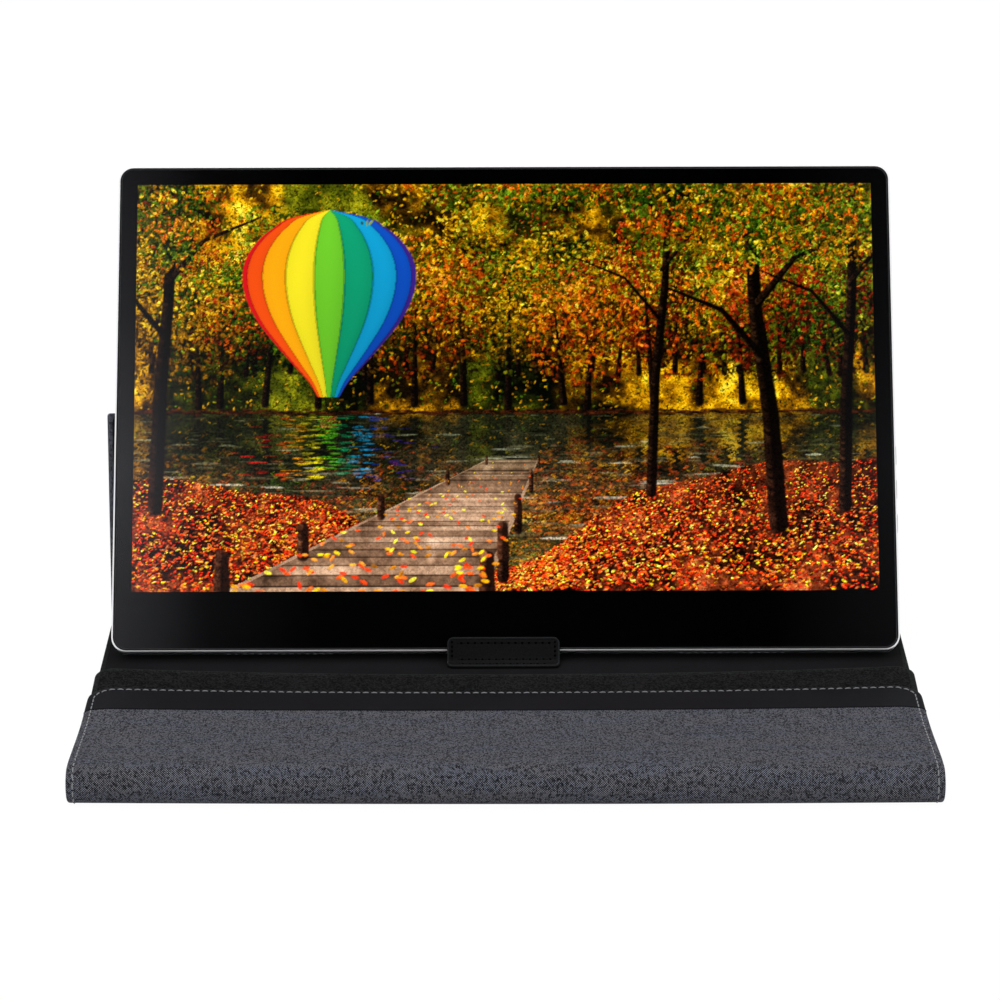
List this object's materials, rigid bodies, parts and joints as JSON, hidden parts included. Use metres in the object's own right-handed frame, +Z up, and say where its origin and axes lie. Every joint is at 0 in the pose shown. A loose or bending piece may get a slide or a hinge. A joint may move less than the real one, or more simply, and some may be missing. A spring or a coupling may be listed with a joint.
{
  "type": "portable monitor with cover",
  "caption": "Portable monitor leaning on a folding cloth cover: a rear strut holds it, a leather tab stops its lower edge, and a rounded flap lies folded in front.",
  "frame": {"origin": "on the desk, midway along the cover, under the line on which the screen's lower rear edge stands", "axes": "+X to the right along the screen, +Y to the back, +Z up"},
  "size_m": [0.37, 0.2768, 0.2033],
  "materials": {
    "black_glass": "polished clear cover glass, black behind",
    "border_ink": "black printed film",
    "foam": "closed-cell foam",
    "display": "display cell",
    "clear_plastic": "clear acrylic",
    "led": "LED packages on a strip",
    "steel": "plain steel",
    "panel_metal": "bare sheet",
    "silver_metal": "fine satin",
    "circuit_board": "solder mask",
    "flex_cable": "polyimide film",
    "black_plastic": "fine moulded",
    "grey_cloth": "two-tone plain weave",
    "stiff_board": "stiff filled plastic board",
    "black_lining": "brushed microfibre",
    "black_leather": "soft pebbled",
    "smooth_trim": "smooth coated",
    "magnet": "plated"
  },
  "bodies": {
    "cover_base": {"base_skin": "grey_cloth", "base_board": "stiff_board", "base_lining": "black_lining", "rear_crease": "grey_cloth", "pleat_strip": "black_lining", "tab_foot": "black_leather"},
    "tab": {"tab_lip": "black_leather"},
    "strut": {"strut_skin": "grey_cloth", "strut_board": "stiff_board", "strut_lining": "black_lining"},
    "magnet_strip": {"magnet_sleeve": "black_lining", "strut_magnets": "magnet"},
    "monitor": {"cover_glass": "black_glass", "border_print": "border_ink", "panel_gasket": "foam", "display_cell": "display", "light_guide": "clear_plastic", "led_bar": "led", "panel_tray": "panel_metal", "front_frame": "silver_metal", "rear_cover": "silver_metal", "rear_screws": "steel", "main_board": "circuit_board", "source_board": "circuit_board", "flat_cables": "flex_cable", "usb_sockets": "steel", "video_socket": "steel", "audio_jack": "black_plastic", "speakers": "black_plastic", "steel_strip": "steel", "key_board": "circuit_board"},
    "power_button": {"power_key": "silver_metal"},
    "menu_up_button": {"menu_key_up": "silver_metal"},
    "menu_down_button": {"menu_key_down": "silver_metal"},
    "leaf": {"leaf_skin": "grey_cloth", "leaf_board": "stiff_board", "leaf_lining": "black_lining", "nose_skin": "grey_cloth", "nose_core": "foam"},
    "flap": {"flap_skin": "grey_cloth", "flap_board": "stiff_board", "flap_lining": "black_lining", "flap_trim": "smooth_trim", "flap_magnets": "magnet"}
  },
  "joints": [
    {"name": "strut_fold", "type": "hinge", "parent": "cover_base", "child": "strut", "pos_m": [0, 0.042, 0.0014], "axis": [-1, 0, 0], "range_deg": [0, 78.7]},
    {"name": "monitor_fold", "type": "hinge", "parent": "strut", "child": "magnet_strip", "pos_m": [0, 0.05992, 0.09924], "axis": [-1, 0, 0], "range_deg": [-20.45, 0]},
    {"name": "monitor_lift", "type": "slide", "parent": "magnet_strip", "child": "monitor", "axis": [0, 0.5255, 0.8508], "range_m": [0, 0.24]},
    {"name": "power_press", "type": "slide", "parent": "monitor", "child": "power_button", "axis": [-1, 0, 0], "range_m": [0, 0.0005], "stiffness_N_per_m": 1500},
    {"name": "menu_up_press", "type": "slide", "parent": "monitor", "child": "menu_up_button", "axis": [-1, 0, 0], "range_m": [0, 0.0005], "stiffness_N_per_m": 1500},
    {"name": "menu_down_press", "type": "slide", "parent": "monitor", "child": "menu_down_button", "axis": [-1, 0, 0], "range_m": [0, 0.0005], "stiffness_N_per_m": 1500},
    {"name": "tab_fold", "type": "hinge", "parent": "cover_base", "child": "tab", "pos_m": [-0.0005, -0.01451, 0.00455], "axis": [1, 0, 0], "range_deg": [0, 60]},
    {"name": "leaf_fold", "type": "hinge", "parent": "cover_base", "child": "leaf", "pos_m": [0, -0.028, 0.00365], "axis": [-1, 0, 0], "range_deg": [0, 95]},
    {"name": "flap_fold", "type": "hinge", "parent": "leaf", "child": "flap", "pos_m": [0, -0.144, 0.0171], "axis": [1, 0, 0], "range_deg": [0, 186]}
  ],
  "couplings": [
    {"joint": "monitor_fold", "follows": "strut_fold", "ratio": -0.2595}
  ]
}
